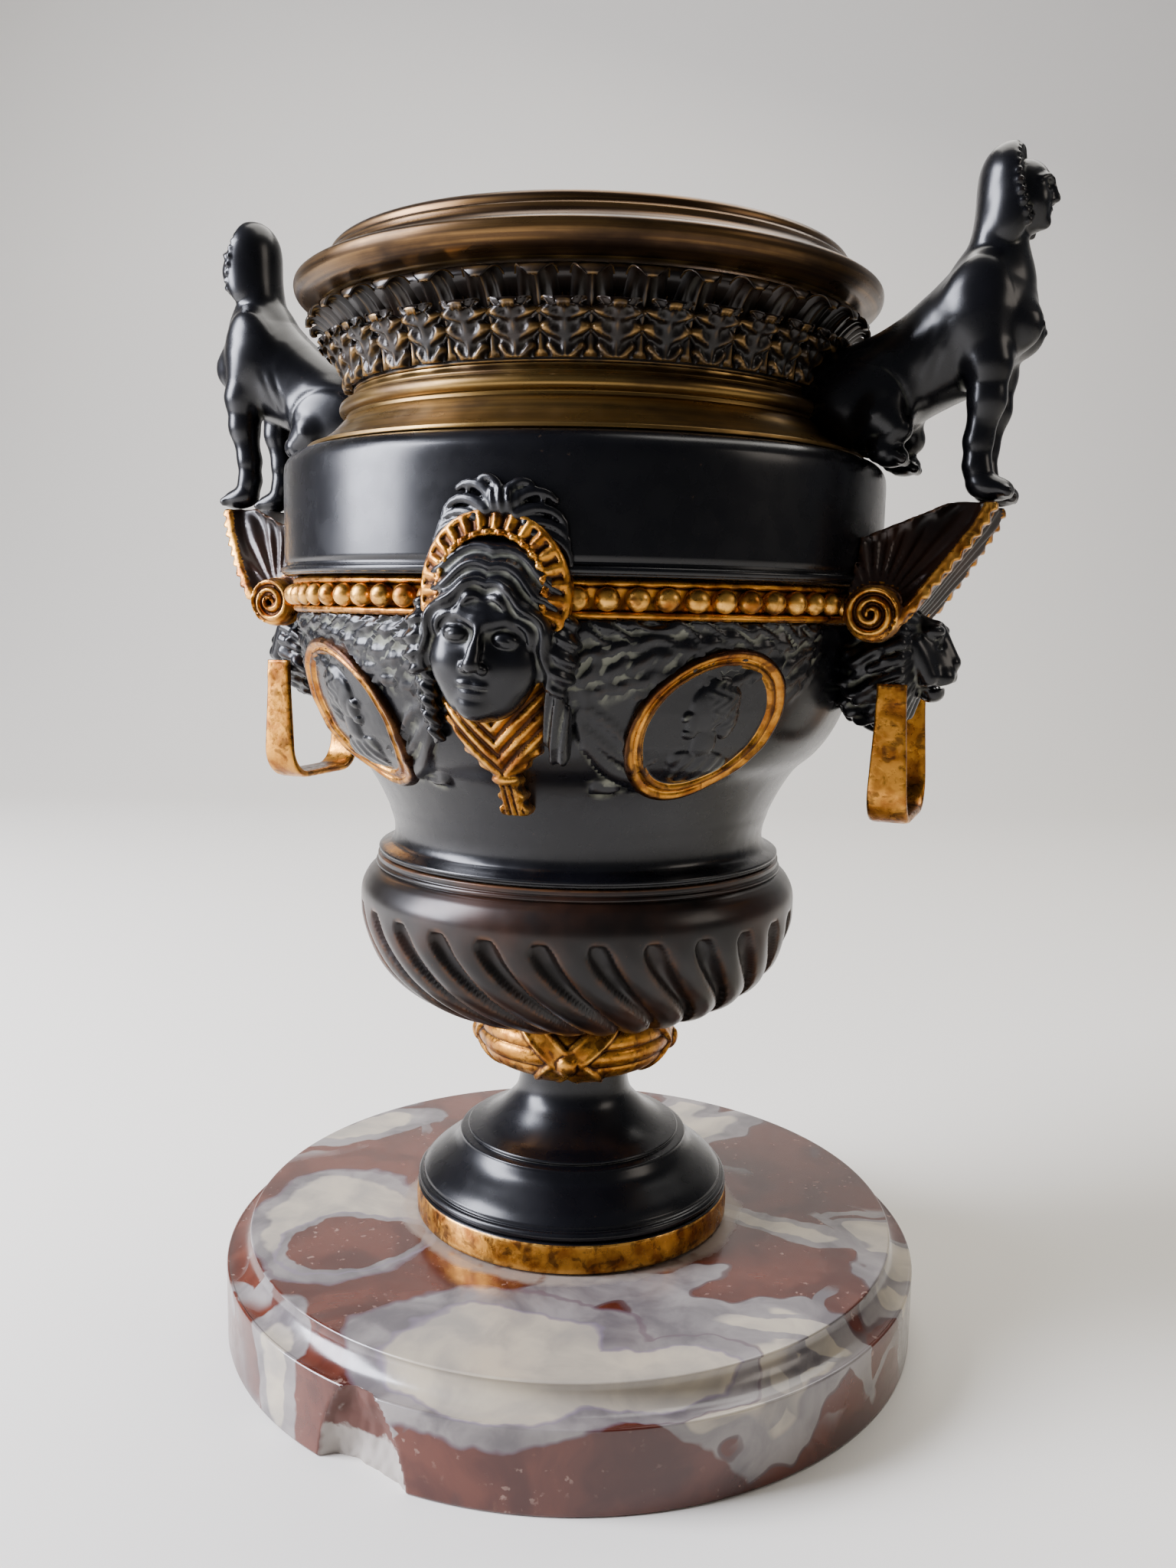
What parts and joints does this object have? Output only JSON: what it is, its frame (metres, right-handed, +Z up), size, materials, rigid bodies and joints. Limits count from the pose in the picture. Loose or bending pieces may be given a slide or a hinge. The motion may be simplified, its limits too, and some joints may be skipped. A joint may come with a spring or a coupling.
{
  "type": "medici vase",
  "caption": "Footed bronze urn with flared lip, sphinx handles on leaf brackets, lion masks, female masks and oval medallions, on a round marble plinth.",
  "frame": {"origin": "centre of the plinth's underside", "axes": "+Z up along the vase's axis, +X through the right handle, the front mask towards -Y"},
  "size_m": [0.1714, 0.144, 0.2296],
  "materials": {
    "red_marble": "polished red-brown breccia marble with pale veins",
    "black_bronze": "satin blue-black patina on cast bronze",
    "brown_bronze": "brown rubbed patina on cast bronze",
    "olive_brass": "dull olive-brown brass",
    "gilding": "worn orange-gold gilding"
  },
  "bodies": {
    "root": {"marble_base": "red_marble", "foot": "black_bronze", "ribbon_knop": "gilding", "fluted_bowl": "brown_bronze", "waist": "black_bronze", "bead_band": "gilding", "drum": "black_bronze", "brass_collar": "olive_brass", "leaf_neck": "brown_bronze", "rim": "olive_brass", "bracket_right": "brown_bronze", "lion_mask_right": "black_bronze", "gilt_strap_right": "gilding", "sphinx_right": "black_bronze", "bracket_left": "brown_bronze", "lion_mask_left": "black_bronze", "gilt_strap_left": "gilding", "sphinx_left": "black_bronze", "mask_front": "black_bronze", "medallion_front_right": "gilding", "medallion_front_left": "gilding", "mask_back": "black_bronze", "medallion_back_right": "gilding", "medallion_back_left": "gilding"}
  },
  "joints": []
}
